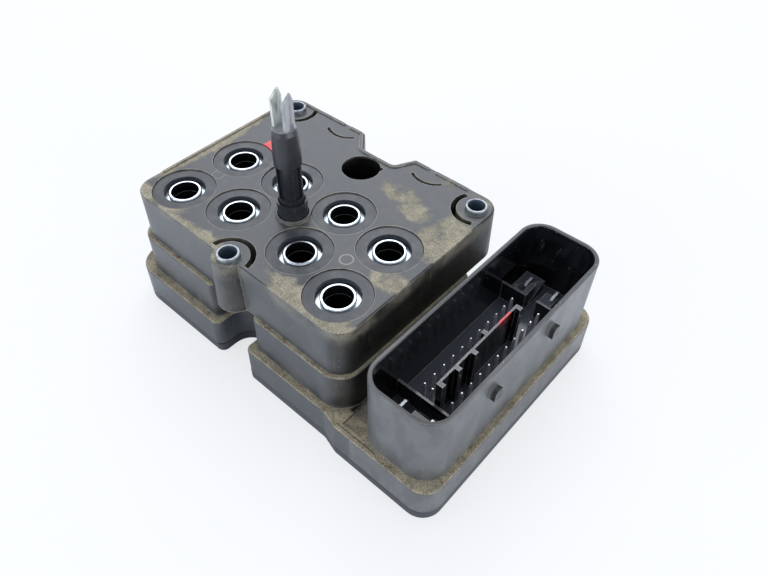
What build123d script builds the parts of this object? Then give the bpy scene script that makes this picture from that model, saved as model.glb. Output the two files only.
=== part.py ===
from build123d import *
import math
import os

# Control unit of an anti-lock brake system, resting on its base cover.
# +X runs from the coil deck to the connector, +Y to the side with the recess in the deck edge,
# +Z up. The origin is the middle of the resting face. All sizes are in millimetres.

# Heights above the resting face
cover_height = 3.4
tray_height = 13.4
waist_height = 26.7
deck_height = 43.5
connector_height = 39.8

# Outline of the deck, the top step
deck_left_front = -58.8
deck_left_back = -60.3
deck_right = 29.2
deck_front_left = -36.0
deck_front_right = -36.6
deck_back = 33.0
deck_corner_radius = 6.2
recess_start = -26.4
recess_end = -4.2
recess_floor_left = -20.6
recess_floor_right = -7.8
recess_depth = 7.0
recess_corner_radius = 1.6

# Steps and draft of the walls
draft_angle = 1.0
waist_ledge = 1.45
tray_ledge = 2.8
edge_rounding = 0.7
tray_jog_start = 25.5
tray_jog_end = 31.0
tray_jog_radius = 4.0
tray_notch_radius = 0.5
tray_front_right = -42.3
tray_back_right = 42.0
tray_right = 63.9

# Walls inside the housing
wall = 2.0
deck_plate = 2.4
coil_floor = 16.0
board_bay_height = 11.4
boss_wall = 1.4

# Rim, slots and grooves on the deck
rim_width = 0.9
rim_height = 0.45
rim_gap = 2.6
rim_front = -25.0
rim_right = 17.0
slot_inner_radius = 5.9
slot_width = 1.7
slot_depth = 9.0
slot_angles = {"front": (3, 174), "back_left": (-60, 100), "back_right": (150, 145)}
smile_radius = 7.4
smile_width = 1.1
smile_depth = 1.2
smile_left = -33.3
smile_right = 3.5
smile_start = 232.0
smile_span = 92.0

# Sensor port in the deck
port_x = -14.5
port_y = 18.1
port_radius = 6.2
port_depth = 13.0
port_wall = 1.5
port_key = 1.6
port_key_angle = 35.5

# Screw bushes and the clearance channels below them
bush_front = (-14.1, -35.4)
bush_inset_left = (6.8, 5.7)
bush_inset_right = (5.0, 6.6)
bush_back_left = (deck_left_back + bush_inset_left[0], deck_back - bush_inset_left[1])
bush_back_right = (deck_right - bush_inset_right[0], deck_back - bush_inset_right[1])
bush_bore_radius = 2.65
bush_wall = 0.75
bush_stand_out = 1.4
bush_chamfer = 0.25
bush_clearance = 0.05
boss_top_radius = 4.9
boss_draft = 3.0
waist_channel_radius = 8.5
tray_channel_radius = 6.4
channel_mouth_radius = 2.4
channel_reach = 40.0

# Solenoid coils, in mirrored pairs about the valve centre line: distance from it, then Y
valve_line_x = -14.45
coil_pairs = [(32.4, -25.5), (30.95, -3.6), (13.0, -20.65), (11.05, -1.05)]
disc_radius = 9.4
disc_gap = 0.18
disc_drop = 0.4
disc_thickness = 2.2
pocket_radius = 6.3
pocket_depth = 2.9
bobbin_wall = 0.75
bobbin_flange = 1.4
sleeve_bore_radius = 4.2
sleeve_wall = 0.73
sleeve_set_back = 0.9
sleeve_chamfer = 0.25
sleeve_flange_width = 1.15
sleeve_flange_thickness = 0.5
sleeve_step_depth = 12.0
sleeve_step_width = 0.6
can_radius = 9.2
can_wall = 0.8
coil_clearance = 0.1
coil_pin_width = 0.8
coil_pin_spacing = 5.0
coil_pin_offset = 6.2

# Plug post for the pump motor
post_x = -14.05
post_y = -11.25
post_hole_radius = 4.75
post_lip_width = 0.55
post_lip_height = 0.9
collar_radius = 4.45
collar_rise = 5.7
collar_lip = 0.45
collar_lip_height = 1.6
foot_radius = 3.75
foot_rise = 7.5
shaft_radius = 3.55
shaft_groove_width = 2.2
shaft_groove_depth = 0.85
shaft_rise = 18.2
grip_rise = 28.0
grip_bottom_radius = 3.9
grip_top_radius = 3.6
grip_lip_height = 1.3
grip_lip_taper = 0.35
grip_collar_height = 2.0
latch_height = 24.0
latch_width = 1.5
latch_depth = 0.5
blade_rise = 39.6
blade_spacing = 4.4
blade_width = 3.5
blade_thickness = 0.8
blade_shoulder = 37.3
blade_tip_width = 2.4
blade_tip_slant = 1.4
blade_tip_inset = 0.7

# Connector shroud
shroud_left = 37.1
shroud_right = 61.9
shroud_front = -39.8
shroud_back = 39.5
shroud_corner_radius = 7.4
shroud_wall = 1.4
shroud_rounding = 0.35
shroud_floor = 17.3
moat_depth = 0.8
moat_margin = 1.0
lug_places = (-15.6, 11.4)
lug_width = 3.4
lug_height = 4.2
lug_top = 33.9
lug_reach = 1.8
lug_rounding = 1.1

# Ribs and walls inside the connector
cross_wall_place = 24.5
cross_wall = 0.7
cross_wall_top = 24.1
keying_gap_start = 46.9
keying_gap_end = 50.6
keying_leg = 5.4
keying_block = 1.6
keying_shelf_width = 4.8
keying_shelf_depth = 5.8
keying_shelf_drop = 1.0
rib_x = 50.1
rib_thickness = 0.6
rib_start = -23.4
rib_end = 12.9
rib_top = 31.8
stub_width = 1.4
stub_reach = 1.5
stub_places_right = (-22.7, -15.8, -8.7, 12.2)
stub_place_left = -1.4
carrier_width = 5.0
carrier_depth = 5.6
carrier_height = 3.4
creased_carrier_x = (40.6, 47.1)
creased_carrier_y = (27.4, 35.2)
creased_carrier_height = 4.7
creased_carrier_angle = 38.0

# Connector pins and power blades
pin_pitch = 4.12
pin_count = 11
pin_middle = -0.1
pin_width = 0.8
pin_top = 24.1
pin_taper = 1.0
pin_tip_width = 0.4
row_a_x = 44.55
row_b_x = 47.15
row_c_x = 53.7
row_d_x = 56.05
row_b_pitch_counts = (0, 5, 7)
power_blade_x = (44.6, 53.7)
power_blade_y = (-30.0, 29.7)
power_blade_width = 4.6
power_blade_thickness = 0.8
power_blade_top = 25.0
power_blade_chamfer = 0.9

# Base cover and its seal
cover_floor = 1.6
cover_rounding = 0.6
seal_width = 1.0
seal_height = 0.8

# Circuit board and the parts on it
board_bottom = 6.0
board_thickness = 1.6
board_clearance = 0.6
support_radius = 2.4
support_places = [
    (-52.0, -30.0), (-52.0, 12.0), (-14.0, 28.0), (22.0, -36.0), (32.0, 8.0), (58.0, -35.0), (58.0, 35.0),
]
controller_size = 20.0
controller_height = 1.5
controller_place = (-8.0, 7.0)
driver_size = (14.0, 10.0)
driver_height = 1.4
driver_place = (-36.0, -17.5)
transistor_size = (6.6, 6.1)
transistor_height = 2.0
transistor_places = [(-54.5, -9.0), (-54.5, 0.0), (8.0, -26.0), (8.0, -17.5)]
capacitor_radius = 3.2
capacitor_height = 3.2
capacitor_places = [(38.0, -26.0), (38.0, 26.0), (27.0, -20.0)]
crystal_size = (7.0, 3.0)
crystal_height = 1.3
crystal_place = (-8.0, 21.0)

bush_outer_radius = bush_bore_radius + bush_wall
bushes = {"front": bush_front, "back_left": bush_back_left, "back_right": bush_back_right}
coil_places = [(valve_line_x + side * across, along) for across, along in coil_pairs for side in (-1, 1)]
disc_hole_radius = disc_radius + disc_gap
disc_top = deck_height - disc_drop
disc_bottom = disc_top - disc_thickness
core_radius = pocket_radius + bobbin_wall
can_inner_radius = can_radius - can_wall
sleeve_outer_radius = sleeve_bore_radius + sleeve_wall
sleeve_top = deck_height - sleeve_set_back
board_top = board_bottom + board_thickness
post_place = (post_x, post_y)
waist_grow = waist_ledge + math.tan(math.radians(draft_angle)) * (deck_height - waist_height)
tray_grow = waist_grow + tray_ledge + math.tan(math.radians(draft_angle)) * (waist_height - tray_height)
cover_grow = math.tan(math.radians(draft_angle)) * (tray_height - cover_height)


def block(x_range, y_range, z_range):
    x0, x1 = x_range
    y0, y1 = y_range
    z0, z1 = z_range
    place = Pos((x0 + x1) / 2, (y0 + y1) / 2, (z0 + z1) / 2)
    return place * Box(x1 - x0, y1 - y0, z1 - z0)


def column(place, radius, z_range):
    z0, z1 = z_range
    return Pos(place[0], place[1], (z0 + z1) / 2) * Cylinder(radius, z1 - z0)


def prism(face, z_range, taper=0.0):
    """A flat outline drawn from the upper height down to the lower one."""
    z0, z1 = z_range
    return Pos(0, 0, z1) * extrude(face, amount=z0 - z1, taper=-taper)


def ring_part(place, middle_radius, width, z_range, start, span):
    """A stretch of a flat ring, from the start angle on, in degrees."""
    z0, z1 = z_range
    section = Plane.XZ * Pos(middle_radius, (z0 + z1) / 2) * Rectangle(width, z1 - z0)
    ring = revolve(section, axis=Axis.Z, revolution_arc=span)
    return Pos(place[0], place[1], 0) * Rot(0, 0, start) * ring


def turned(points, place):
    """A body of revolution about an upright axis, from points of radius and height."""
    section = Plane.XZ * make_face(Polyline(*points, close=True))
    return Pos(place[0], place[1], 0) * revolve(section, axis=Axis.Z)


# Outlines

def deck_outline():
    points = [
        (deck_left_front, deck_front_left),
        (deck_right, deck_front_right),
        (deck_right, deck_back),
        (recess_end, deck_back),
        (recess_floor_right, deck_back - recess_depth),
        (recess_floor_left, deck_back - recess_depth),
        (recess_start, deck_back),
        (deck_left_back, deck_back),
    ]
    corner = deck_corner_radius
    bend = recess_corner_radius
    return make_face(
        FilletPolyline(*points, radius=[corner, corner, corner, bend, bend, bend, bend, corner], close=True)
    )


def channel(axis, radius, toward_x, toward_y):
    """Room for a screw and its driver, open towards one side or one corner."""
    x, y = axis
    width = 2 * radius
    far_x = x + toward_x * channel_reach / 2
    far_y = y + toward_y * channel_reach / 2
    room = Pos(x, y) * Circle(radius)
    if toward_y:
        room += Pos(x, far_y) * Rectangle(width, channel_reach)
    if toward_x:
        room += Pos(far_x, y) * Rectangle(channel_reach, width)
        room += Pos(far_x, far_y) * Rectangle(channel_reach, channel_reach)
    return room


def round_mouths(face, mouths):
    """Rounds the corners of an outline that lie nearest to the given points."""
    corners = [min(face.vertices(), key=lambda v: (v.X - x) ** 2 + (v.Y - y) ** 2) for x, y in mouths]
    return fillet(corners, channel_mouth_radius)


def waist_outline():
    grow = waist_grow
    corner = deck_corner_radius + grow
    points = [
        (deck_left_front - grow, deck_front_left - grow),
        (deck_right + grow, deck_front_right - grow),
        (deck_right + grow, deck_back + grow),
        (deck_left_back - grow, deck_back + grow),
    ]
    face = make_face(FilletPolyline(*points, radius=corner, close=True))
    radius = waist_channel_radius
    face -= channel(bush_front, radius, 0, -1)
    face -= channel(bush_back_left, radius, -1, 1)
    face -= channel(bush_back_right, radius, 1, 1)
    mouths = [
        (bush_front[0] - radius, deck_front_left - grow),
        (bush_front[0] + radius, deck_front_right - grow),
        (bush_back_left[0] + radius, deck_back + grow),
        (deck_left_back - grow, bush_back_left[1] - radius),
        (bush_back_right[0] - radius, deck_back + grow),
        (deck_right + grow, bush_back_right[1] - radius),
    ]
    return round_mouths(face, mouths)


def tray_outline(spread=0.0):
    """The widest step, which also carries the connector; it spreads with the wall's draft."""
    grow = tray_grow + spread
    corner = deck_corner_radius + spread
    front = deck_front_left - grow
    back = deck_back + grow
    jog_back = bush_back_right[0]
    points = [
        (deck_left_front - grow, front),
        (tray_jog_start, front),
        (tray_jog_end, tray_front_right - spread),
        (tray_right + spread, tray_front_right - spread),
        (tray_right + spread, tray_back_right + spread),
        (jog_back, tray_back_right + spread),
        (jog_back, back),
        (deck_left_back - grow, back),
    ]
    jog = tray_jog_radius
    notch = tray_notch_radius
    radii = [corner + tray_ledge, jog, jog, corner, corner, notch, notch, corner]
    face = make_face(FilletPolyline(*points, radius=radii, close=True))
    radius = tray_channel_radius - spread
    face -= channel(bush_front, radius, 0, -1)
    face -= channel(bush_back_left, radius, -1, 1)
    face -= channel(bush_back_right, radius, 0, 1)
    mouths = [
        (bush_front[0] - radius, front),
        (bush_front[0] + radius, front),
        (bush_back_left[0] + radius, back),
        (deck_left_back - grow, bush_back_left[1] - radius),
        (bush_back_right[0] - radius, back),
        (bush_back_right[0] + radius, tray_back_right + spread),
    ]
    return round_mouths(face, mouths)


def shroud_outline(inset=0.0):
    width = shroud_right - shroud_left - 2 * inset
    length = shroud_back - shroud_front - 2 * inset
    middle = Pos((shroud_left + shroud_right) / 2, (shroud_front + shroud_back) / 2)
    return middle * RectangleRounded(width, length, shroud_corner_radius - inset)


# Pins that pass through the housing

def square_pin(x, y, width, z_range, tip_width=0.0, taper=0.0):
    z0, z1 = z_range
    pin = block((x - width / 2, x + width / 2), (y - width / 2, y + width / 2), (z0, z1 - taper))
    if taper:
        lower = Pos(x, y, z1 - taper) * Rectangle(width, width)
        upper = Pos(x, y, z1) * Rectangle(tip_width, tip_width)
        pin += loft([lower, upper])
    return pin


def pin_row(x, positions):
    first = pin_middle - pin_pitch * (pin_count - 1) / 2
    places = [first + pin_pitch * step for step in positions]
    return [square_pin(x, y, pin_width, (board_top, pin_top), pin_tip_width, pin_taper) for y in places]


def signal_pins():
    everywhere = range(pin_count)
    return {
        "signal_pins_row_a": pin_row(row_a_x, everywhere),
        "signal_pins_row_b": pin_row(row_b_x, row_b_pitch_counts),
        "signal_pins_row_c": pin_row(row_c_x, everywhere),
        "signal_pins_row_d": pin_row(row_d_x, everywhere),
    }


def coil_pins():
    pins = []
    for x, y in coil_places:
        for side in (-1, 1):
            pin_x = x + side * coil_pin_spacing / 2
            pins.append(square_pin(pin_x, y - coil_pin_offset, coil_pin_width, (board_top, coil_floor)))
    return pins


def power_blade(x, y):
    half_width = power_blade_width / 2
    shoulder = power_blade_top - power_blade_chamfer
    points = [
        (y - half_width, board_top),
        (y + half_width, board_top),
        (y + half_width, shoulder),
        (y + half_width - power_blade_chamfer, power_blade_top),
        (y - half_width + power_blade_chamfer, power_blade_top),
        (y - half_width, shoulder),
    ]
    face = Plane.YZ * make_face(Polyline(*points, close=True))
    return Pos(x - power_blade_thickness / 2, 0, 0) * extrude(face, amount=power_blade_thickness)


def power_blades():
    return {
        f"power_blade_{end}_{side}": power_blade(x, y)
        for end, y in zip(("front", "back"), power_blade_y)
        for side, x in zip(("inner", "outer"), power_blade_x)
    }


def motor_blade(side):
    """A flat contact, wide at its root, with one slanted shoulder at the tip."""
    z0 = board_top
    z1 = deck_height + blade_shoulder
    z2 = deck_height + blade_rise - blade_tip_slant
    z3 = deck_height + blade_rise
    y0 = post_y - blade_width / 2
    y1 = post_y + blade_width / 2
    points = [
        (y0, z0), (y1, z0), (y1, z1), (y1 - blade_tip_inset, z3), (y1 - blade_tip_width, z2), (y0, z1),
    ]
    face = Plane.YZ * make_face(Polyline(*points, close=True))
    x = post_x + side * blade_spacing / 2 - blade_thickness / 2
    return Pos(x, 0, 0) * extrude(face, amount=blade_thickness)


# Housing

def housing_steps():
    deck = prism(deck_outline(), (waist_height, deck_height), draft_angle)
    waist = prism(waist_outline(), (tray_height, waist_height), draft_angle)
    tray = prism(tray_outline(), (cover_height, tray_height), draft_angle)
    return [fillet(step.faces().sort_by(Axis.Z)[-1].edges(), edge_rounding) for step in (deck, waist, tray)]


def front_boss():
    """Half of this cone stands out of the front wall, round the front bush."""
    drop = deck_height - waist_height
    foot = boss_top_radius + drop * math.tan(math.radians(boss_draft))
    cone = Cone(foot, boss_top_radius, drop)
    cone = Pos(bush_front[0], bush_front[1], (deck_height + waist_height) / 2) * cone
    return fillet(cone.edges().sort_by(Axis.Z)[-1], edge_rounding / 2)


def shroud():
    shell = prism(shroud_outline(), (board_bay_height, connector_height))
    shell -= prism(shroud_outline(shroud_wall), (shroud_floor, connector_height))
    return fillet(shell.faces().sort_by(Axis.Z)[-1].edges(), shroud_rounding)


def shroud_lug(y):
    """A rounded lug on the outer wall that the plug's slide locks over."""
    points = [
        (y - lug_width / 2, lug_top - lug_height),
        (y + lug_width / 2, lug_top - lug_height),
        (y + lug_width / 2, lug_top),
        (y - lug_width / 2, lug_top),
    ]
    face = Plane.YZ * make_face(FilletPolyline(*points, radius=lug_rounding, close=True))
    return Pos(shroud_right - shroud_wall / 2, 0, 0) * extrude(face, amount=lug_reach + shroud_wall / 2)


def shroud_ribs():
    left = shroud_left + shroud_wall / 2
    right = shroud_right - shroud_wall / 2
    floor = shroud_floor
    half = cross_wall / 2
    shelf_top = cross_wall_top - keying_shelf_drop
    front_wall = (-cross_wall_place - half, -cross_wall_place + half)
    back_wall = (cross_wall_place - half, cross_wall_place + half)
    rib = (rib_x - rib_thickness / 2, rib_x + rib_thickness / 2)
    ribs = [
        block((left, right), front_wall, (floor, cross_wall_top)),
        block((left, keying_gap_start), back_wall, (floor, cross_wall_top)),
        block((keying_gap_end, right), back_wall, (floor, cross_wall_top)),
        block(
            (keying_gap_start - keying_block, keying_gap_start),
            (cross_wall_place, cross_wall_place + keying_leg),
            (floor, cross_wall_top),
        ),
        block(
            (keying_gap_end, keying_gap_end + keying_shelf_width - power_blade_thickness),
            (cross_wall_place, cross_wall_place + keying_shelf_depth),
            (floor, shelf_top),
        ),
        block(rib, (rib_start, rib_end), (floor, rib_top)),
    ]
    stubs = [((rib[1], rib[1] + stub_reach), y) for y in stub_places_right]
    stubs.append(((rib[0] - stub_reach, rib[0]), stub_place_left))
    for x_range, y in stubs:
        ribs.append(block(x_range, (y - stub_width / 2, y + stub_width / 2), (floor, rib_top)))
    middle = sum(power_blade_x) / 2
    carrier_x = (middle - carrier_width / 2, middle + carrier_width / 2)
    carrier_y = (power_blade_y[0] - carrier_depth / 2, power_blade_y[0] + carrier_depth / 2)
    ribs.append(block(carrier_x, carrier_y, (floor, floor + carrier_height)))
    ribs.append(creased_carrier())
    return ribs


def creased_carrier():
    """The block round the far inner blade: half its top is level and half slopes to one corner."""
    x0, x1 = creased_carrier_x
    y0, y1 = creased_carrier_y
    top = shroud_floor + creased_carrier_height
    crease = Vector(x1 - x0, y1 - y0, 0).normalized()
    downhill = Vector(crease.Y, -crease.X, -math.tan(math.radians(creased_carrier_angle)))
    slope = Plane(origin=(x0, y0, top), x_dir=crease, z_dir=downhill.cross(crease))
    body = block(creased_carrier_x, creased_carrier_y, (shroud_floor, top))
    return split(body, bisect_by=slope, keep=Keep.BOTTOM)


def deck_rim():
    """A low lip along the left and back edges, with two gaps in it."""
    outer = deck_outline()
    band = offset(outer, -edge_rounding) - offset(outer, -edge_rounding - rim_width)
    rim = prism(band, (deck_height, deck_height + rim_height))
    z_range = (deck_height, deck_height + 2 * rim_height)
    left = block((deck_left_back, deck_left_front + 2 * rim_width), (rim_front, deck_back), z_range)
    back = block((deck_left_back, rim_right), (deck_back - 2 * recess_depth, deck_back), z_range)
    rim = (rim & left) + (rim & back)
    for x in (smile_left, smile_right):
        rim -= block((x - rim_gap / 2, x + rim_gap / 2), (deck_back - recess_depth / 2, deck_back), z_range)
    return rim


def post_lip():
    lip = column(post_place, post_hole_radius + post_lip_width, (deck_height, deck_height + post_lip_height))
    return fillet(lip.edges().sort_by(Axis.Z)[-1], post_lip_width / 2)


def coil_bay():
    bay = prism(offset(deck_outline(), -wall), (coil_floor, deck_height - deck_plate))
    for place in bushes.values():
        bay -= column(place, waist_channel_radius + boss_wall, (coil_floor, deck_height))
    bay -= column((port_x, port_y), port_radius + port_wall, (coil_floor, deck_height))
    return bay


def board_bay():
    return prism(offset(tray_outline(), -wall), (cover_height, board_bay_height))


def sensor_port():
    port = column((port_x, port_y), port_radius, (deck_height - port_depth, deck_height))
    key = Rot(0, 0, 45) * Box(port_key, port_key, port_depth)
    key = Pos(port_radius, 0, deck_height - port_depth / 2) * key
    return port + Pos(port_x, port_y, 0) * Rot(0, 0, port_key_angle) * key


def bush_slots():
    """C-shaped slots that part each bush's boss from the deck: start angle and span."""
    z_range = (deck_height - slot_depth, deck_height)
    middle = slot_inner_radius + slot_width / 2
    return [ring_part(bushes[name], middle, slot_width, z_range, *span) for name, span in slot_angles.items()]


def smile_grooves():
    z_range = (deck_height - smile_depth, deck_height)
    places = [(smile_left, deck_back), (smile_right, deck_back)]
    return [ring_part(p, smile_radius, smile_width, z_range, smile_start, smile_span) for p in places]


def moat():
    """The sunken floor between the waist and the connector."""
    x_range = (deck_right + waist_grow + moat_margin, shroud_left + shroud_wall)
    y_range = (shroud_front, shroud_back)
    return block(x_range, y_range, (tray_height - moat_depth, tray_height))


def make_housing():
    deck, waist, tray = housing_steps()
    body = deck + waist + tray + front_boss()
    body -= moat()
    body -= coil_bay()
    body -= board_bay()
    body += [shroud()] + [shroud_lug(y) for y in lug_places]
    body += shroud_ribs()
    body += [deck_rim(), post_lip()]
    holes = [sensor_port(), column(post_place, post_hole_radius, (coil_floor, deck_height + 1))]
    holes += [column(place, disc_hole_radius, (coil_floor, deck_height + 1)) for place in coil_places]
    holes += [
        column(place, bush_outer_radius + bush_clearance, (waist_height, deck_height + 1))
        for place in bushes.values()
    ]
    holes += bush_slots() + smile_grooves()
    holes += coil_pins()
    holes += [pin for row in signal_pins().values() for pin in row]
    holes += list(power_blades().values())
    holes += [motor_blade(side) for side in (-1, 1)]
    body -= holes
    return body


# Base

def make_cover():
    cover = prism(tray_outline(cover_grow), (0, cover_height))
    cover = fillet(cover.faces().sort_by(Axis.Z)[0].edges(), cover_rounding)
    cover -= prism(offset(tray_outline(), -wall), (cover_floor, cover_height))
    cover += [column(place, support_radius, (cover_floor, board_bottom)) for place in support_places]
    return cover - seal_ring()


def seal_ring():
    outer = offset(tray_outline(), -(wall - seal_width) / 2)
    inner = offset(tray_outline(), -(wall + seal_width) / 2)
    return prism(outer - inner, (cover_height - seal_height, cover_height))


def make_board():
    return prism(offset(tray_outline(), -wall - board_clearance), (board_bottom, board_top))


def chip(place, size, height):
    x, y = place
    width, depth = size
    z_range = (board_top, board_top + height)
    return block((x - width / 2, x + width / 2), (y - depth / 2, y + depth / 2), z_range)


# Screw bush

def make_bush(place):
    z0 = waist_height
    z1 = deck_height + bush_stand_out
    inner = bush_bore_radius
    outer = bush_outer_radius
    cut = bush_chamfer
    points = [(inner, z0), (outer, z0), (outer, z1 - cut), (outer - cut, z1), (inner, z1)]
    return turned(points, place)


# Solenoid coil

def make_bobbin(place):
    z0 = coil_floor
    z1 = coil_floor + bobbin_flange
    seat = deck_height - pocket_depth
    bore = sleeve_outer_radius + coil_clearance
    flange = can_inner_radius - coil_clearance
    points = [
        (bore, z0), (flange, z0), (flange, z1), (core_radius, z1),
        (core_radius, disc_bottom), (disc_radius, disc_bottom), (disc_radius, disc_top),
        (pocket_radius, disc_top), (pocket_radius, seat), (bore, seat),
    ]
    return turned(points, place)


def make_winding(place):
    inner = core_radius + coil_clearance
    outer = can_inner_radius - coil_clearance
    z0 = coil_floor + bobbin_flange
    z1 = disc_bottom
    return turned([(inner, z0), (outer, z0), (outer, z1), (inner, z1)], place)


def make_can(place):
    z0 = coil_floor
    z1 = disc_bottom
    return turned([(can_inner_radius, z0), (can_radius, z0), (can_radius, z1), (can_inner_radius, z1)], place)


def make_sleeve(place):
    z0 = coil_floor
    z1 = sleeve_top
    step = z1 - sleeve_step_depth
    narrow = sleeve_bore_radius - sleeve_step_width
    seat = deck_height - pocket_depth
    rim = seat + sleeve_flange_thickness
    bore = sleeve_bore_radius
    outer = sleeve_outer_radius
    flange = outer + sleeve_flange_width
    cut = sleeve_chamfer
    points = [
        (narrow, z0), (outer, z0), (outer, seat), (flange, seat), (flange, rim), (outer, rim),
        (outer, z1 - cut), (outer - cut, z1), (bore, z1), (bore, step), (narrow, step),
    ]
    return turned(points, place)


# Motor plug

def make_post():
    z0 = coil_floor
    z1 = deck_height + collar_rise
    z2 = deck_height + foot_rise
    z3 = deck_height + shaft_rise
    lip = collar_radius - collar_lip
    inside = z1 - collar_lip_height
    points = [
        (0, z0), (collar_radius, z0), (collar_radius, z1), (lip, z1), (lip, inside), (foot_radius, inside),
        (foot_radius, z2), (shaft_radius, z2), (shaft_radius, z3), (0, z3),
    ]
    post = turned(points, post_place)
    groove_x = (shaft_radius - shaft_groove_depth, shaft_radius)
    groove = block(groove_x, (-shaft_groove_width / 2, shaft_groove_width / 2), (z2, z3))
    post -= [Pos(post_x, post_y, 0) * Rot(0, 0, turn) * groove for turn in (0, 90, 180, 270)]
    return post - [motor_blade(side) for side in (-1, 1)]


def make_grip():
    """The matte sleeve that holds both motor contacts, with a thin lip at its mouth."""
    z0 = deck_height + shaft_rise
    z1 = deck_height + grip_rise
    z2 = z1 + grip_lip_height
    bottom = grip_bottom_radius
    top = grip_top_radius
    collar = z0 + grip_collar_height
    points = [(0, z0), (bottom, z0), (bottom, collar), (top, z1), (top - grip_lip_taper, z2), (0, z2)]
    grip = turned(points, post_place)
    hole_z = deck_height + latch_height
    grip -= block(
        (post_x - bottom, post_x - top + latch_depth),
        (post_y - latch_width / 2, post_y + latch_width / 2),
        (hole_z - latch_width / 2, hole_z + latch_width / 2),
    )
    for side in (-1, 1):
        grip -= motor_blade(side)
    return grip


def all_pieces():
    pieces = {"housing": make_housing(), "base_cover": make_cover(), "cover_seal": seal_ring()}
    pieces["circuit_board"] = make_board()
    for name, place in bushes.items():
        pieces[f"bush_{name}"] = make_bush(place)
    for number, place in enumerate(coil_places, 1):
        pieces[f"coil_{number}_bobbin"] = make_bobbin(place)
        pieces[f"coil_{number}_winding"] = make_winding(place)
        pieces[f"coil_{number}_can"] = make_can(place)
        pieces[f"coil_{number}_sleeve"] = make_sleeve(place)
    pieces["coil_pins"] = coil_pins()
    pieces["motor_plug_post"] = make_post()
    pieces["motor_plug_grip"] = make_grip()
    pieces["motor_contact_left"] = motor_blade(-1)
    pieces["motor_contact_right"] = motor_blade(1)
    pieces.update(signal_pins())
    pieces.update(power_blades())
    pieces["controller_chip"] = chip(controller_place, (controller_size, controller_size), controller_height)
    pieces["valve_driver_chip"] = chip(driver_place, driver_size, driver_height)
    pieces["power_transistors"] = [
        chip(place, transistor_size, transistor_height) for place in transistor_places
    ]
    capacitor_z = (board_top, board_top + capacitor_height)
    pieces["capacitors"] = [column(place, capacitor_radius, capacitor_z) for place in capacitor_places]
    pieces["clock_crystal"] = chip(crystal_place, crystal_size, crystal_height)
    return pieces


def solids_of(piece):
    pieces = piece if isinstance(piece, list) else [piece]
    return [solid for one in pieces for solid in one.solids()]


os.makedirs("parts", exist_ok=True)
for node, piece in all_pieces().items():
    export_step(Compound(children=solids_of(piece)), f"parts/{node}.step")
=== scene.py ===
import functools
import math
import bpy
from mathutils import Matrix, Vector

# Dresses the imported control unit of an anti-lock brake system and lights it for its photograph.
# Places on the object are in millimetres, the camera and the lamps in metres. The floor is z = 0.
# A noise gives its stretch along X, Y and Z, its size, its detail and its roughness, and in some
# cases its lacunarity and distortion. A range gives the two values that it runs between, and then
# what it makes of them, which is 0 and 1 where it is left out.

mm = 0.001
even = (1.0, 1.0, 1.0)
upRange = (0.45, 0.9)
smooth = {"interpolation_type": "SMOOTHSTEP"}

camera = {
    "place": (0.1032, -0.1063, 0.17144),
    "turn": 40.741,
    "tilt": 43.035,
    "roll": 1.093,
    "lens": 31.32,
    "sensor": 36.0,
    "nearest": 0.01,
}

studio = {
    "floorColor": "#e9ebee",
    "floorSize": 6.0,
    "floorRoughness": 0.75,
    "floorNoises": {"grain": (even, 1.5, 3.0, 0.6)},
    "floorBump": (0.2, 0.05),
    "worldColor": "#e6eefa",
    "worldStrength": 0.72,
    "backgroundColor": "#f7f8f9",
    "whiteRange": (350.0, 1100.0, 0.75, 1.0),
    "lamps": [
        {
            "name": "overhead", "color": "#ffffff", "power": 4.5,
            "place": (-0.15, 0.25, 0.95), "size": (0.9, 0.7),
        },
        {
            "name": "far", "color": "#f4f8ff", "power": 8.5,
            "place": (-0.75, 0.85, 0.95), "size": (1.2, 0.9),
        },
        {
            "name": "right", "color": "#f8f9ff", "power": 6.5,
            "place": (0.95, 0.0, 0.17), "size": (1.0, 0.3),
        },
        {
            "name": "front", "color": "#eef4ff", "power": 7.5,
            "place": (-0.25, -0.95, 0.28), "size": (1.0, 0.5),
        },
    ],
}

# Thin dark line between the housing and the base cover
seam = {"height": 3.4, "width": 0.8}

# The inside of the connector's walls, painted dark as painted shade, with a paler floor
socket = {
    "plan": ((37.45, 61.55), (-39.45, 39.15)),
    "heights": (14.0, 40.4),
    "corner": 7.05,
    "planSoft": 0.2,
    "heightSoft": 0.25,
}

# Places on the housing painted as painted shade (alley, boss, port, lugs) and a painted shadow line
# along a sunken edge: reach along X, Y and Z, and how soft the edge is
zones = {
    "alley": (((29.8, 37.3), (-36.0, 43.0), (12.0, 31.0)), 1.0),
    "boss": (((-24.0, -6.0), (-46.0, -36.0), (12.0, 43.0)), 5.0),
    "port": (((-22.5, -6.5), (10.0, 26.5), (28.0, 42.9)), 0.3),
    "lugs": (((62.3, 66.0), (-30.0, 30.0), (20.0, 45.0)), 0.25),
    "sunkenEdgeShadow": (((30.5, 45.0), (-40.9, -40.55), (12.0, 13.6)), 0.15),
}

# Strokes of red inspection paint: reach along X, Y and Z, and how far the edge frays
paintStrokes = [
    (((48.0, 51.5), (3.0, 9.8), (28.6, 33.2)), 0.6),
    (((-48.6, -39.3), (2.6, 10.8), (39.0, 48.0)), 2.2),
]

# Where the housing's looks change along one axis, and the places that the change runs between
bands = {
    "onDeck": ("Z", 42.6, 43.1, "LINEAR"),
    "onLedges": ("Z", 28.3, 27.6, "SMOOTHSTEP"),
    "ledgeSoil": ("Z", 28.3, 27.6, "LINEAR"),
    "wallTops": ("Z", 36.5, 42.9, "SMOOTHSTEP"),
    "aboveTray": ("Z", 15.9, 18.4, "SMOOTHSTEP"),
    "shadeHeight": ("Z", 13.9, 14.9, "LINEAR"),
    "belowRim": ("Z", 38.4, 38.1, "LINEAR"),
    "shadeSide": ("X", 36.0, 35.0, "LINEAR"),
    "connectorDust": ("X", 36.4, 37.0, "SMOOTHSTEP"),
    "connectorHaze": ("X", 36.4, 37.0, "LINEAR"),
}

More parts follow.
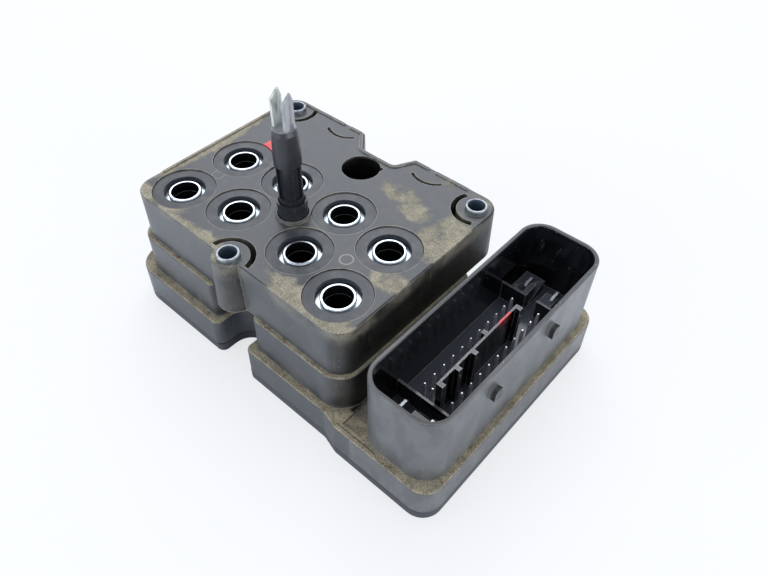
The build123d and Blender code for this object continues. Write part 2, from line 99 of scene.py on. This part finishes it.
# Where dust has settled on the deck: middle, reach and strength of each patch
dustPatches = [
    ((25.0, 9.0), (13.0, 18.0), 1.0),
    ((15.0, -33.5), (31.0, 8.5), 0.9),
    ((-31.0, -37.5), (34.0, 8.5), 0.9),
    ((-57.0, -36.5), (15.0, 9.0), 1.15),
    ((-43.0, -32.0), (13.0, 7.0), 0.85),
    ((-60.5, -6.0), (8.5, 48.0), 1.15),
    ((3.0, 17.5), (13.0, 7.0), 0.75),
    ((13.0, 13.5), (11.0, 8.0), 0.8),
    ((24.0, -13.0), (10.0, 8.0), 0.9),
    ((-53.0, 31.0), (13.0, 7.0), 0.6),
    ((18.0, 31.0), (16.0, 7.0), 0.55),
]

# Round marks that the mould's ejector pins left on the deck: middle, radius and strength
ejectorMarks = [((10.6, -14.7), 1.9, 0.5), ((-44.6, -14.4), 1.9, 0.2)]

housingNoises = {
    "wisps": (even, 9.0, 8.0, 0.62, 2.0, 0.5),
    "patches": (even, 3.0, 5.0, 0.6),
    "specks": (even, 0.45, 3.0, 0.65),
    "grain": (even, 0.28, 2.0, 0.5),
    "streaks": ((0.9, 0.9, 0.09), 1.0, 4.0, 0.6),
    "haze": ((0.2, 0.2, 0.1), 1.0, 4.0, 0.6),
    "scratches": ((0.5, 0.06, 0.5), 0.25, 2.0, 0.5),
}

# Masks that follow a noise: the noise and its range
noiseMasks = {
    "ledgeDust": ("wisps", 0.25, 0.5, 0.6, 1.0),
    "film": ("wisps", 0.35, 0.7, 0.02, 0.1),
    "wallTopDust": ("wisps", 0.35, 0.6, 0.05, 0.38),
    "cornerPatches": ("patches", 0.3, 0.6),
    "wornAndHighlightPatches": ("patches", 0.25, 0.5),
    "streaks": ("streaks", 0.5, 0.75, 0.0, 0.18),
    "haze": ("haze", 0.4, 0.65, 0.08, 0.17),
    "scratches": ("scratches", 0.68, 0.75, 0.0, 0.14),
}

housingRanges = {
    "clouds": (0.3, 0.7),
    "gloss": (0.3, 0.7, 0.28, 0.4),
    "patchReach": (1.0, 0.3),
    "patchFade": (0.0, 0.3),
    "deckDust": (0.7, 0.94, 0.0, 0.95),
    "hollows": (0.75, 0.35, 0.0, 0.5),
    "connectorDust": (0.0, 1.0, 1.0, 0.35),
    "edges": (0.99, 0.92, 0.0, 0.8),
    "ring": (0.4, 0.0),
    "dots": (0.08, 0.04, 0.0, 0.7),
    "dotShare": (0.0, 1.0, 0.5, 1.0),
    "shadedSides": (0.08, 0.6, 0.0, 0.9),
    "paint": (1.4, 1.5),
}

housingLook = {
    "color": "#282c30",
    "fadedColor": "#363b40",
    "hazeColor": "#a3a39f",
    "shadedColor": "#131211",
    "connectorShadeColor": "#101114",
    "connectorFloor": "#43464e",
    "speckColor": "#a9abad",
    "wornAndHighlightColor": "#a5a196",
    "gapAndShadowColor": "#0c0b0a",
    "paintColor": "#e2343a",
    "dustShades": [(0.3, "#595245"), (0.5, "#8a8473"), (0.7, "#b4ab95")],
    "ledgeShades": [(0.35, "#4c4537"), (0.5, "#8a816c"), (0.65, "#aaa088")],
    "connectorRoughness": 0.1,
    "dustRoughness": 0.95,
    "paintRoughness": 0.35,
    "grainBump": (0.6, 0.012),
    "dustBump": (0.7, 0.2),
    "hollowReach": 2.5,
    "hollowSamples": 8,
    "edgeRadius": 0.3,
    "edgeSamples": 6,
    "dotsPerMm": 0.45,
    "bossShade": 0.5,
    "settledShare": 0.5,
    "speckShare": 0.6,
    "patchShare": 0.4,
}

# What all other plastics share
plasticCommon = {
    "noises": {"clouds": (even, 4.0, 4.0, 0.6), "grain": (even, 0.25, 2.0, 0.5)},
    "fadedRange": (0.3, 0.7),
    "filmRange": (0.35, 0.75),
    "filmColor": "#8a8473",
    "glossBelow": 0.05,
    "glossAbove": 0.08,
    "topBlend": 0.6,
    "bump": (0.6, 0.01),
}

plasticLooks = {
    # Dark satin band under the housing, a little dusty
    "mouldedCoverPlastic": {
        "color": "#25282c", "fadedColor": "#33373c", "roughness": 0.42, "dust": 0.3,
    },
    # Smooth dark discs round the sleeves
    "mouldedBobbinPlastic": {
        "color": "#25292d", "fadedColor": "#2f343a", "roughness": 0.4, "dust": 0.15,
    },
    # Black and shiny, with long lights down the plug post
    "glossyPostPlastic": {
        "color": "#191a1d", "fadedColor": "#232528", "roughness": 0.2, "dust": 0.05,
    },
    # Duller than the post, with a paler grey on its faces that look up above topHeight
    "satinGripPlastic": {
        "color": "#17181b", "fadedColor": "#212326", "roughness": 0.34, "dust": 0.15,
        "topColor": "#75787b", "topHeight": 70.6,
    },
    # Matte black, hidden in the joint
    "mouldedSealRubber": {
        "color": "#1a1a1a", "fadedColor": "#242424", "roughness": 0.7, "dust": 0.1,
    },
    # Green lacquered board
    "wovenBoardLaminate": {
        "color": "#1f4d33", "fadedColor": "#285a3d", "roughness": 0.4, "dust": 0.05,
    },
    # Matte black chips
    "mouldedChipResin": {
        "color": "#1b1b1d", "fadedColor": "#262628", "roughness": 0.6, "dust": 0.05,
    },
}

# What all metals share where their own look doesn't say otherwise
metalCommon = {
    "metallic": 1.0,
    "cloudSize": 2.0,
    "streak": 1.0,
    "cloudNoise": (4.0, 0.6),
    "markNoise": (0.125, 3.0, 0.6),
    "dullRange": (0.42, 0.72),
    "boreRange": (-0.05, -0.2),
    "footBlend": 0.3,
    "bump": (0.5, 0.006),
}

metalLooks = {
    # Bright rings round black bores, with a painted glint line in the bore and painted shade on the
    # foot down in the pocket
    "zincPlatedSleeveSteel": {
        "color": "#dfe5ea", "dullColor": "#b4bec8", "roughness": 0.16, "spread": 0.16,
        "boreColor": "#0b0c0d", "stepGlintColor": "#878c91", "stepGlintHeight": 39.2, "stepGlintWidth": 0.22,
        "footShadeColor": "#b9c2c8", "footHeight": 41.3,
    },
    # Grey rings; the bore is painted slate blue as a painted reflection of the pale floor below
    "turnedBushSteel": {
        "color": "#95999d", "dullColor": "#686b6e", "roughness": 0.36, "spread": 0.2,
        "boreColor": "#46525f",
    },
    # Small bright needles in the dark connector
    "tinPlatedPinBronze": {
        "color": "#f0f2f4", "dullColor": "#c6cacd", "roughness": 0.26, "spread": 0.15,
        "metallic": 0.7,
    },
    # Wider blades, greyer than the pins
    "tinPlatedBladeBronze": {
        "color": "#b4b8bc", "dullColor": "#8d9195", "roughness": 0.3, "spread": 0.2,
    },
    # Pale contact with grey clouds drawn out along it
    "agedTinPlatedContact": {
        "color": "#c6cac4", "dullColor": "#85877f", "roughness": 0.42, "spread": 0.25,
        "metallic": 0.5, "cloudSize": 1.3, "streak": 0.2,
    },
    # The same contact, darker, for the right-hand one
    "darkerTinPlatedContact": {
        "color": "#a3a4a6", "dullColor": "#636167", "roughness": 0.42, "spread": 0.25,
        "metallic": 0.5, "cloudSize": 1.6, "streak": 0.2,
    },
    # Red-brown wire under enamel
    "enamelledWindingCopper": {
        "color": "#9a4f26", "dullColor": "#6e3316", "roughness": 0.35, "spread": 0.1,
    },
    # Plain grey cans
    "pressedCanSteel": {
        "color": "#a8adb3", "dullColor": "#858a90", "roughness": 0.3, "spread": 0.15,
    },
    # Light, softly shining cans
    "drawnCapacitorAluminium": {
        "color": "#c4c8cc", "dullColor": "#a2a6aa", "roughness": 0.3, "spread": 0.1,
    },
}

# Which surface each node's name calls for; the first match counts
surfaceOf = [
    ("housing", "mouldedGlassFilledPlastic"),
    ("base_cover", "mouldedCoverPlastic"),
    ("_bobbin", "mouldedBobbinPlastic"),
    ("_sleeve", "zincPlatedSleeveSteel"),
    ("_winding", "enamelledWindingCopper"),
    ("_can", "pressedCanSteel"),
    ("bush_", "turnedBushSteel"),
    ("motor_plug_post", "glossyPostPlastic"),
    ("motor_plug_grip", "satinGripPlastic"),
    ("motor_contact_right", "darkerTinPlatedContact"),
    ("motor_contact", "agedTinPlatedContact"),
    ("power_blade", "tinPlatedBladeBronze"),
    ("_pins", "tinPlatedPinBronze"),
    ("cover_seal", "mouldedSealRubber"),
    ("circuit_board", "wovenBoardLaminate"),
    ("capacitors", "drawnCapacitorAluminium"),
    ("clock_crystal", "pressedCanSteel"),
    ("chip", "mouldedChipResin"),
    ("transistors", "mouldedChipResin"),
]


# Turns an sRGB hex colour into linear red, green, blue and alpha
def linearColor(text):
    parts = [int(text[i:i + 2], 16) / 255 for i in (1, 3, 5)]
    linear = [p / 12.92 if p <= 0.04045 else ((p + 0.055) / 1.055) ** 2.4 for p in parts]
    return (*linear, 1.0)


# Joins a socket to a node's first live output or to another socket, or sets its own value
def feed(tree, socket, value):
    if isinstance(value, bpy.types.Node):
        value = next(output for output in value.outputs if output.enabled)
    if isinstance(value, bpy.types.NodeSocket):
        tree.links.new(value, socket)
    else:
        socket.default_value = linearColor(value) if isinstance(value, str) else value


# Adds one node. Values go to its live inputs in order, and those in named to the inputs so named.
def addNode(tree, kind, *values, named=None, stops=(), **settings):
    node = tree.nodes.new("ShaderNode" + kind)
    for name, value in settings.items():
        setattr(node, name, value)
    live = [socket for socket in node.inputs if socket.enabled]
    for socket, value in zip(live, values):
        feed(tree, socket, value)
    for name, value in (named or {}).items():
        feed(tree, node.inputs[name], value)
    for index, (position, color) in enumerate(stops):
        ramp = node.color_ramp.elements
        element = ramp[index] if index < len(ramp) else ramp.new(position)
        element.position = position
        element.color = linearColor(color)
    return node


# Combines any number of values by one operation, such as MULTIPLY or MAXIMUM
def fold(add, operation, *values):
    total = values[0]
    for value in values[1:]:
        total = add("Math", total, value, operation=operation)
    return total


# Lays values over one another, each where its mask is 1
def cover(add, under, layers, kind="RGBA"):
    for mask, over in layers:
        under = add("Mix", mask, under, over, data_type=kind)
    return under


# Adds a set of noises under their names
def addNoises(add, place, noises):
    made = {}
    for name, (stretch, size, *rest) in noises.items():
        drawn = add("VectorMath", place, stretch, operation="MULTIPLY")
        made[name] = add("TexNoise", drawn, 1 / size, *rest)
    return made


# Starts a material: the material, a function that adds its nodes, and its shader
def newMaterial(name):
    material = bpy.data.materials.new(name)
    material.use_nodes = True
    add = functools.partial(addNode, material.node_tree)
    return material, add, material.node_tree.nodes["Principled BSDF"]


# Joins values to the shader's sockets of those names
def joinShader(material, shader, sockets):
    for name, value in sockets.items():
        feed(material.node_tree, shader.inputs[name], value)
    return material


# What a bump takes: its height, its strength and its depth in millimetres
def relief(height, bump):
    strength, depth = bump
    return {"Strength": strength, "Distance": depth * mm, "Height": height}


# The surface's own coordinates in millimetres, whole and along each axis
def ownPlace(add):
    metres = add("TexCoord").outputs["Object"]
    place = add("VectorMath", metres, (1 / mm,) * 3, operation="MULTIPLY")
    return place, add("SeparateXYZ", place)


# How far a value lies from a middle, whichever side it is on
def distanceFrom(add, value, middle):
    return add("Math", fold(add, "SUBTRACT", value, middle), operation="ABSOLUTE")


# 1 on faces that look up
def facingUp(add):
    normal = add("NewGeometry").outputs["Normal"]
    return add("MapRange", add("SeparateXYZ", normal).outputs["Z"], *upRange, **smooth)


# 1 inside an upright box, or between two places along fewer axes, with a short soft edge
def boxMask(add, axes, reach, soft, along="XYZ"):
    sides = []
    for axis, (low, high) in zip(along, reach):
        half = (high - low) / 2
        away = distanceFrom(add, axes.outputs[axis], (low + high) / 2)
        sides.append(add("MapRange", away, half, half - soft))
    return fold(add, "MULTIPLY", *sides)


# 1 inside the connector's walls, whose corners are round on plan
def socketMask(add, axes):
    squares = []
    for axis, (low, high) in zip("XY", socket["plan"]):
        away = distanceFrom(add, axes.outputs[axis], (low + high) / 2)
        away = fold(add, "SUBTRACT", away, (high - low) / 2 - socket["corner"])
        away = fold(add, "MAXIMUM", away, 0.0)
        squares.append(fold(add, "MULTIPLY", away, away))
    distance = add("Math", fold(add, "ADD", *squares), operation="SQRT")
    inside = add("MapRange", distance, socket["corner"], socket["corner"] - socket["planSoft"])
    level = boxMask(add, axes, [socket["heights"]], socket["heightSoft"], along="Z")
    return fold(add, "MULTIPLY", inside, level)


# How far a place lies from a middle, with each axis divided by its own reach
def ovalDistance(add, axes, middle, reach):
    squares = []
    for axis, centre, half in zip("XY", middle, reach):
        away = fold(add, "DIVIDE", fold(add, "SUBTRACT", axes.outputs[axis], centre), half)
        squares.append(fold(add, "MULTIPLY", away, away))
    return add("Math", fold(add, "ADD", *squares), operation="SQRT")


# 1 on a thin level line at one height
def levelLine(add, axes, height, width):
    away = distanceFrom(add, axes.outputs["Z"], height)
    return add("MapRange", away, width / 2, width / 4, **smooth)


# Every mask of the housing that follows from its place or from one noise
def housingMasks(add, axes, noises):
    masks = {name: boxMask(add, axes, *zone) for name, zone in zones.items()}
    masks["socket"] = socketMask(add, axes)
    masks["up"] = facingUp(add)
    for name, (axis, start, end, kind) in bands.items():
        masks[name] = add("MapRange", axes.outputs[axis], start, end, interpolation_type=kind)
    for name, (noise, *span) in noiseMasks.items():
        masks[name] = add("MapRange", noises[noise], *span, **smooth)
    return masks


# Dust on the deck, in ragged wisps inside the patches
def deckDust(add, axes, wisps):
    patches = []
    for middle, reach, strength in dustPatches:
        span = (*housingRanges["patchReach"], 0.0, strength)
        patches.append(add("MapRange", ovalDistance(add, axes, middle, reach), *span, **smooth))
    settled = fold(add, "MAXIMUM", *patches)
    ragged = fold(add, "ADD", wisps, fold(add, "MULTIPLY", settled, housingLook["settledShare"]))
    dust = add("MapRange", ragged, *housingRanges["deckDust"], **smooth)
    fade = add("MapRange", settled, *housingRanges["patchFade"], **smooth)
    return fold(add, "MULTIPLY", dust, fade)


# How much dust lies on the housing: on the deck and the ledges, in corners and down the walls
def housingDust(add, axes, noises, masks):
    onDeck = fold(add, "MULTIPLY", deckDust(add, axes, noises["wisps"]), masks["onDeck"])
    onLedges = fold(add, "MULTIPLY", masks["onLedges"], masks["ledgeDust"])
    lying = fold(add, "MULTIPLY", fold(add, "MAXIMUM", onDeck, onLedges), masks["up"])

    reach, samples = housingLook["hollowReach"] * mm, housingLook["hollowSamples"]
    hollow = add("AmbientOcclusion", named={"Distance": reach}, samples=samples)
    corner = add("MapRange", hollow.outputs["AO"], *housingRanges["hollows"], **smooth)
    corner = fold(add, "MULTIPLY", corner, masks["cornerPatches"])

    upright = fold(add, "SUBTRACT", 1.0, masks["up"])
    streaks = fold(add, "MULTIPLY", masks["streaks"], upright)
    wallTops = fold(add, "MULTIPLY", masks["wallTops"], upright, masks["wallTopDust"])

    kept = fold(add, "MAXIMUM", masks["socket"], masks["alley"], masks["port"])
    connector = fold(add, "MULTIPLY", masks["aboveTray"], masks["connectorDust"])
    dust = fold(add, "MAXIMUM", lying, corner, masks["film"], streaks, wallTops)
    return fold(
        add, "MULTIPLY", dust, fold(add, "SUBTRACT", 1.0, kept),
        add("MapRange", connector, *housingRanges["connectorDust"]),
    )


# Edges painted pale, partly rubbed by handling and partly a painted highlight along their rounding
def wornAndHighlightEdges(add, masks):
    normal = add("NewGeometry").outputs["Normal"]
    rounded = add("Bevel", housingLook["edgeRadius"] * mm, samples=housingLook["edgeSamples"])
    facing = add("VectorMath", rounded, normal, operation="DOT_PRODUCT").outputs["Value"]
    edge = add("MapRange", facing, *housingRanges["edges"], **smooth)
    return fold(add, "MULTIPLY", edge, masks["wornAndHighlightPatches"])


# Rings that the ejector pins left on the deck
def ejectorRings(add, axes, masks):
    rings = []
    for middle, radius, strength in ejectorMarks:
        away = distanceFrom(add, ovalDistance(add, axes, middle, (1.0, 1.0)), radius)
        rings.append(add("MapRange", away, *housingRanges["ring"], 0.0, strength, **smooth))
    return fold(add, "MULTIPLY", fold(add, "MAXIMUM", *rings), masks["onDeck"])


# Places that their neighbours keep in the dark
def shadedPlaces(add, masks):
    sideways = add("SeparateXYZ", add("NewGeometry").outputs["Normal"]).outputs["X"]
    sides = add("MapRange", sideways, *housingRanges["shadedSides"], **smooth)
    sides = fold(add, "MULTIPLY", sides, masks["shadeSide"], masks["shadeHeight"])
    boss = fold(add, "MULTIPLY", masks["boss"], housingLook["bossShade"])
    return fold(add, "MAXIMUM", sides, masks["alley"], masks["port"], boss)


# Charcoal moulded plastic, dusty where road dirt settles: matte grey steps with tan ledges
def housingPlastic(look):
    material, add, shader = newMaterial("mouldedGlassFilledPlastic")
    place, axes = ownPlace(add)
    noises = addNoises(add, place, housingNoises)
    masks = housingMasks(add, axes, noises)
    wisps, specks, inside = noises["wisps"], noises["specks"], masks["socket"]
    dust = housingDust(add, axes, noises, masks)
    # Pale marks: edges that are partly a painted highlight, ejector rings and scratches
    pale = fold(
        add, "MAXIMUM", wornAndHighlightEdges(add, masks), ejectorRings(add, axes, masks), masks["scratches"],
    )
    # The seam is a dark joint. Along the sunken edge, the same dark colour is a painted shadow line
    line = levelLine(add, axes, seam["height"], seam["width"])
    gapsAndShadow = fold(add, "MAXIMUM", line, masks["sunkenEdgeShadow"])

    mottle = fold(
        add, "ADD", fold(add, "MULTIPLY", specks, look["speckShare"]),
        fold(add, "MULTIPLY", noises["patches"], look["patchShare"]),
    )
    strokes = [boxMask(add, axes, *stroke) for stroke in paintStrokes]
    paint = fold(add, "ADD", fold(add, "MAXIMUM", *strokes), mottle)
    paint = add("MapRange", paint, *housingRanges["paint"], **smooth)
    dots = add("TexVoronoi", place, look["dotsPerMm"]).outputs["Distance"]
    dots = fold(
        add, "MULTIPLY", add("MapRange", dots, *housingRanges["dots"]),
        add("MapRange", inside, *housingRanges["dotShare"]),
    )
    outside = fold(add, "SUBTRACT", 1.0, inside)
    haze = fold(add, "MULTIPLY", masks["haze"], masks["connectorHaze"], outside)

    # Painted shade: the connector's inner walls take a dark shade colour, and its floor a paler one
    floor = fold(add, "MULTIPLY", masks["up"], masks["belowRim"])
    inner = cover(add, look["connectorShadeColor"], [(floor, look["connectorFloor"])])
    soil = add("ValToRGB", mottle, stops=look["dustShades"])
    crumbs = add("ValToRGB", mottle, stops=look["ledgeShades"])
    color = cover(add, look["color"], [
        (add("MapRange", wisps, *housingRanges["clouds"]), look["fadedColor"]),
        (haze, look["hazeColor"]),
        # Painted shade on the lugs, in the shaded colour
        (masks["lugs"], look["shadedColor"]),
        (inside, inner),
        (shadedPlaces(add, masks), look["shadedColor"]),
        (dots, look["speckColor"]),
        (pale, look["wornAndHighlightColor"]),
        (dust, cover(add, soil, [(masks["ledgeSoil"], crumbs)])),
        (gapsAndShadow, look["gapAndShadowColor"]),
        (paint, look["paintColor"]),
    ])
    gloss = cover(add, add("MapRange", wisps, *housingRanges["gloss"]), [
        (inside, look["connectorRoughness"]),
        (dust, look["dustRoughness"]),
        (paint, look["paintRoughness"]),
    ], "FLOAT")
    piled = fold(add, "SUBTRACT", fold(add, "MULTIPLY", dust, specks), gapsAndShadow)
    fine = add("Bump", named=relief(noises["grain"], look["grainBump"]))
    bump = add("Bump", named={**relief(piled, look["dustBump"]), "Normal": fine})
    return joinShader(material, shader, {"Base Color": color, "Roughness": gloss, "Normal": bump})


# Moulded plastic or rubber: a fine grain, cloudy fading and a film of dust on what looks up
def plasticSurface(name, look):
    look = {**plasticCommon, **look}
    material, add, shader = newMaterial(name)
    place, axes = ownPlace(add)
    noises = addNoises(add, place, look["noises"])
    clouds = noises["clouds"]
    up = facingUp(add)
    layers = [(add("MapRange", clouds, *look["fadedRange"]), look["fadedColor"])]
    if "topColor" in look:
        start = look["topHeight"]
        top = add("MapRange", axes.outputs["Z"], start, start + look["topBlend"])
        layers.append((fold(add, "MULTIPLY", top, up), look["topColor"]))
    film = add("MapRange", clouds, *look["filmRange"], 0.0, look["dust"], **smooth)
    layers.append((fold(add, "MULTIPLY", film, up), look["filmColor"]))
    line = levelLine(add, axes, seam["height"], seam["width"])
    layers.append((line, housingLook["gapAndShadowColor"]))
    color = cover(add, look["color"], layers)
    low, high = look["roughness"] - look["glossBelow"], look["roughness"] + look["glossAbove"]
    gloss = add("MapRange", clouds, 0.0, 1.0, low, high)
    bump = add("Bump", named=relief(noises["grain"], look["bump"]))
    return joinShader(material, shader, {"Base Color": color, "Roughness": gloss, "Normal": bump})


# 1 on the inner wall of a turned piece. Generated coordinates put its axis at 0.5 along X and Y.
def boreMask(add, span):
    across = add("SeparateXYZ", add("TexCoord").outputs["Generated"])
    normal = add("SeparateXYZ", add("NewGeometry").outputs["Normal"])
    parts = []
    for axis in "XY":
        away = fold(add, "SUBTRACT", across.outputs[axis], 0.5)
        parts.append(fold(add, "MULTIPLY", away, normal.outputs[axis]))
    return add("MapRange", fold(add, "ADD", *parts), *span, **smooth)


# Plated or bare metal: dull patches, fine marks and, in a turned piece, a colour in the bore: black
# in the sleeves, and a slate blue painted reflection in the bushes
def metalSurface(name, look):
    look = {**metalCommon, **look}
    material, add, shader = newMaterial(name)
    place, axes = ownPlace(add)
    stretch = (1.0, 1.0, look["streak"])
    noises = addNoises(add, place, {
        "clouds": (stretch, look["cloudSize"], *look["cloudNoise"]),
        "marks": (stretch, *look["markNoise"]),
    })
    clouds, metal = noises["clouds"], look["metallic"]
    layers = [(add("MapRange", clouds, *look["dullRange"], **smooth), look["dullColor"])]
    # Painted shade: below footHeight, down in its pocket, the sleeve takes a darker colour
    if "footShadeColor" in look:
        end = look["footHeight"]
        foot = add("MapRange", axes.outputs["Z"], end + look["footBlend"], end)
        layers.append((foot, look["footShadeColor"]))
    if "boreColor" in look:
        bore, inner = boreMask(add, look["boreRange"]), look["boreColor"]
        # Painted highlight: a light line in the bore stands in for a glint on a step
        if "stepGlintColor" in look:
            line = levelLine(add, axes, look["stepGlintHeight"], look["stepGlintWidth"])
            inner = cover(add, inner, [(line, look["stepGlintColor"])])
        layers.append((bore, inner))
        metal = fold(add, "SUBTRACT", metal, bore)
    color = cover(add, look["color"], layers)
    gloss = add("MapRange", clouds, 0.0, 1.0, look["roughness"], look["roughness"] + look["spread"])
    bump = add("Bump", named=relief(noises["marks"], look["bump"]))
    sockets = {"Base Color": color, "Metallic": metal, "Roughness": gloss, "Normal": bump}
    return joinShader(material, shader, sockets)


# Gives every node of the frame the surface that its name calls for
def paintNodes(nodes):
    surfaces = {"mouldedGlassFilledPlastic": housingPlastic(housingLook)}
    surfaces.update({name: plasticSurface(name, look) for name, look in plasticLooks.items()})
    surfaces.update({name: metalSurface(name, look) for name, look in metalLooks.items()})
    for nodeName, node in nodes.items():
        surfaceName = next(surface for key, surface in surfaceOf if key in nodeName)
        node.data.materials.clear()
        node.data.materials.append(surfaces[surfaceName])


# A pale painted floor that gives light as a real one does, and that the camera sees nearly white
def makeFloor(look):
    half = look["floorSize"] / 2
    mesh = bpy.data.meshes.new("studioFloor")
    corners = [(-half, -half, 0), (half, -half, 0), (half, half, 0), (-half, half, 0)]
    mesh.from_pydata(corners, [], [(0, 1, 2, 3)])
    floor = bpy.data.objects.new("studioFloor", mesh)
    bpy.context.scene.collection.objects.link(floor)

    material, add, shader = newMaterial("paintedStudioFloor")
    tree = material.node_tree
    place = ownPlace(add)[0]
    grain = addNoises(add, place, look["floorNoises"])["grain"]
    bump = add("Bump", named=relief(grain, look["floorBump"]))
    joinShader(material, shader, {
        "Base Color": look["floorColor"], "Roughness": look["floorRoughness"], "Normal": bump,
    })
    white = add("Emission", look["backgroundColor"])
    away = add("VectorMath", place, operation="LENGTH").outputs["Value"]
    share = add("MapRange", away, *look["whiteRange"], **smooth)
    share = fold(add, "MULTIPLY", add("LightPath").outputs["Is Camera Ray"], share)
    both = add("MixShader", share, shader, white)
    feed(tree, tree.nodes["Material Output"].inputs["Surface"], both)
    mesh.materials.append(material)


# Soft light from all round, behind which the camera sees a nearly white background
def makeWorld(look):
    world = bpy.data.worlds.new("studioSky")
    world.use_nodes = True
    bpy.context.scene.world = world
    world.node_tree.nodes.clear()
    add = functools.partial(addNode, world.node_tree)
    soft = add("Background", look["worldColor"], look["worldStrength"])
    white = add("Background", look["backgroundColor"])
    seen = add("MixShader", add("LightPath").outputs["Is Camera Ray"], soft, white)
    add("OutputWorld", seen)


# Wide lamps that all point at the object
def makeLamps(look):
    for lamp in look["lamps"]:
        light = bpy.data.lights.new(lamp["name"] + "Lamp", "AREA")
        light.shape = "RECTANGLE"
        light.size, light.size_y = lamp["size"]
        light.energy = lamp["power"]
        light.color = linearColor(lamp["color"])[:3]
        item = bpy.data.objects.new(lamp["name"] + "Lamp", light)
        item.location = lamp["place"]
        item.rotation_euler = (-Vector(lamp["place"])).to_track_quat("-Z", "Y").to_euler()
        bpy.context.scene.collection.objects.link(item)


# The camera, where the photograph was taken from
def makeCamera(look):
    data = bpy.data.cameras.new("photoCamera")
    data.sensor_fit = "HORIZONTAL"
    data.sensor_width = look["sensor"]
    data.lens = look["lens"]
    data.clip_start = look["nearest"]
    item = bpy.data.objects.new("photoCamera", data)
    turn = Matrix.Rotation(math.radians(look["turn"]), 4, "Z")
    tilt = Matrix.Rotation(math.radians(look["tilt"]), 4, "X")
    roll = Matrix.Rotation(math.radians(look["roll"]), 4, "Z")
    item.matrix_world = Matrix.Translation(look["place"]) @ turn @ tilt @ roll
    bpy.context.scene.collection.objects.link(item)
    bpy.context.scene.camera = item


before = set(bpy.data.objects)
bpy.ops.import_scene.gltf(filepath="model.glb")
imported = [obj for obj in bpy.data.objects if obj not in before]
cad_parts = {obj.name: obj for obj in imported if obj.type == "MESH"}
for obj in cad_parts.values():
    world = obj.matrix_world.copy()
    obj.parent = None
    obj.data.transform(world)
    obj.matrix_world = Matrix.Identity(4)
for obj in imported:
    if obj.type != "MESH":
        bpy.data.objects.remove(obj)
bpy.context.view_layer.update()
print("frame loaded:", len(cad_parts), "nodes")
bpy.context.scene.view_settings.view_transform = "Standard"

makeCamera(camera)
makeWorld(studio)
makeLamps(studio)
makeFloor(studio)
print("studio ready")

paintNodes(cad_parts)
print("surfaces ready")
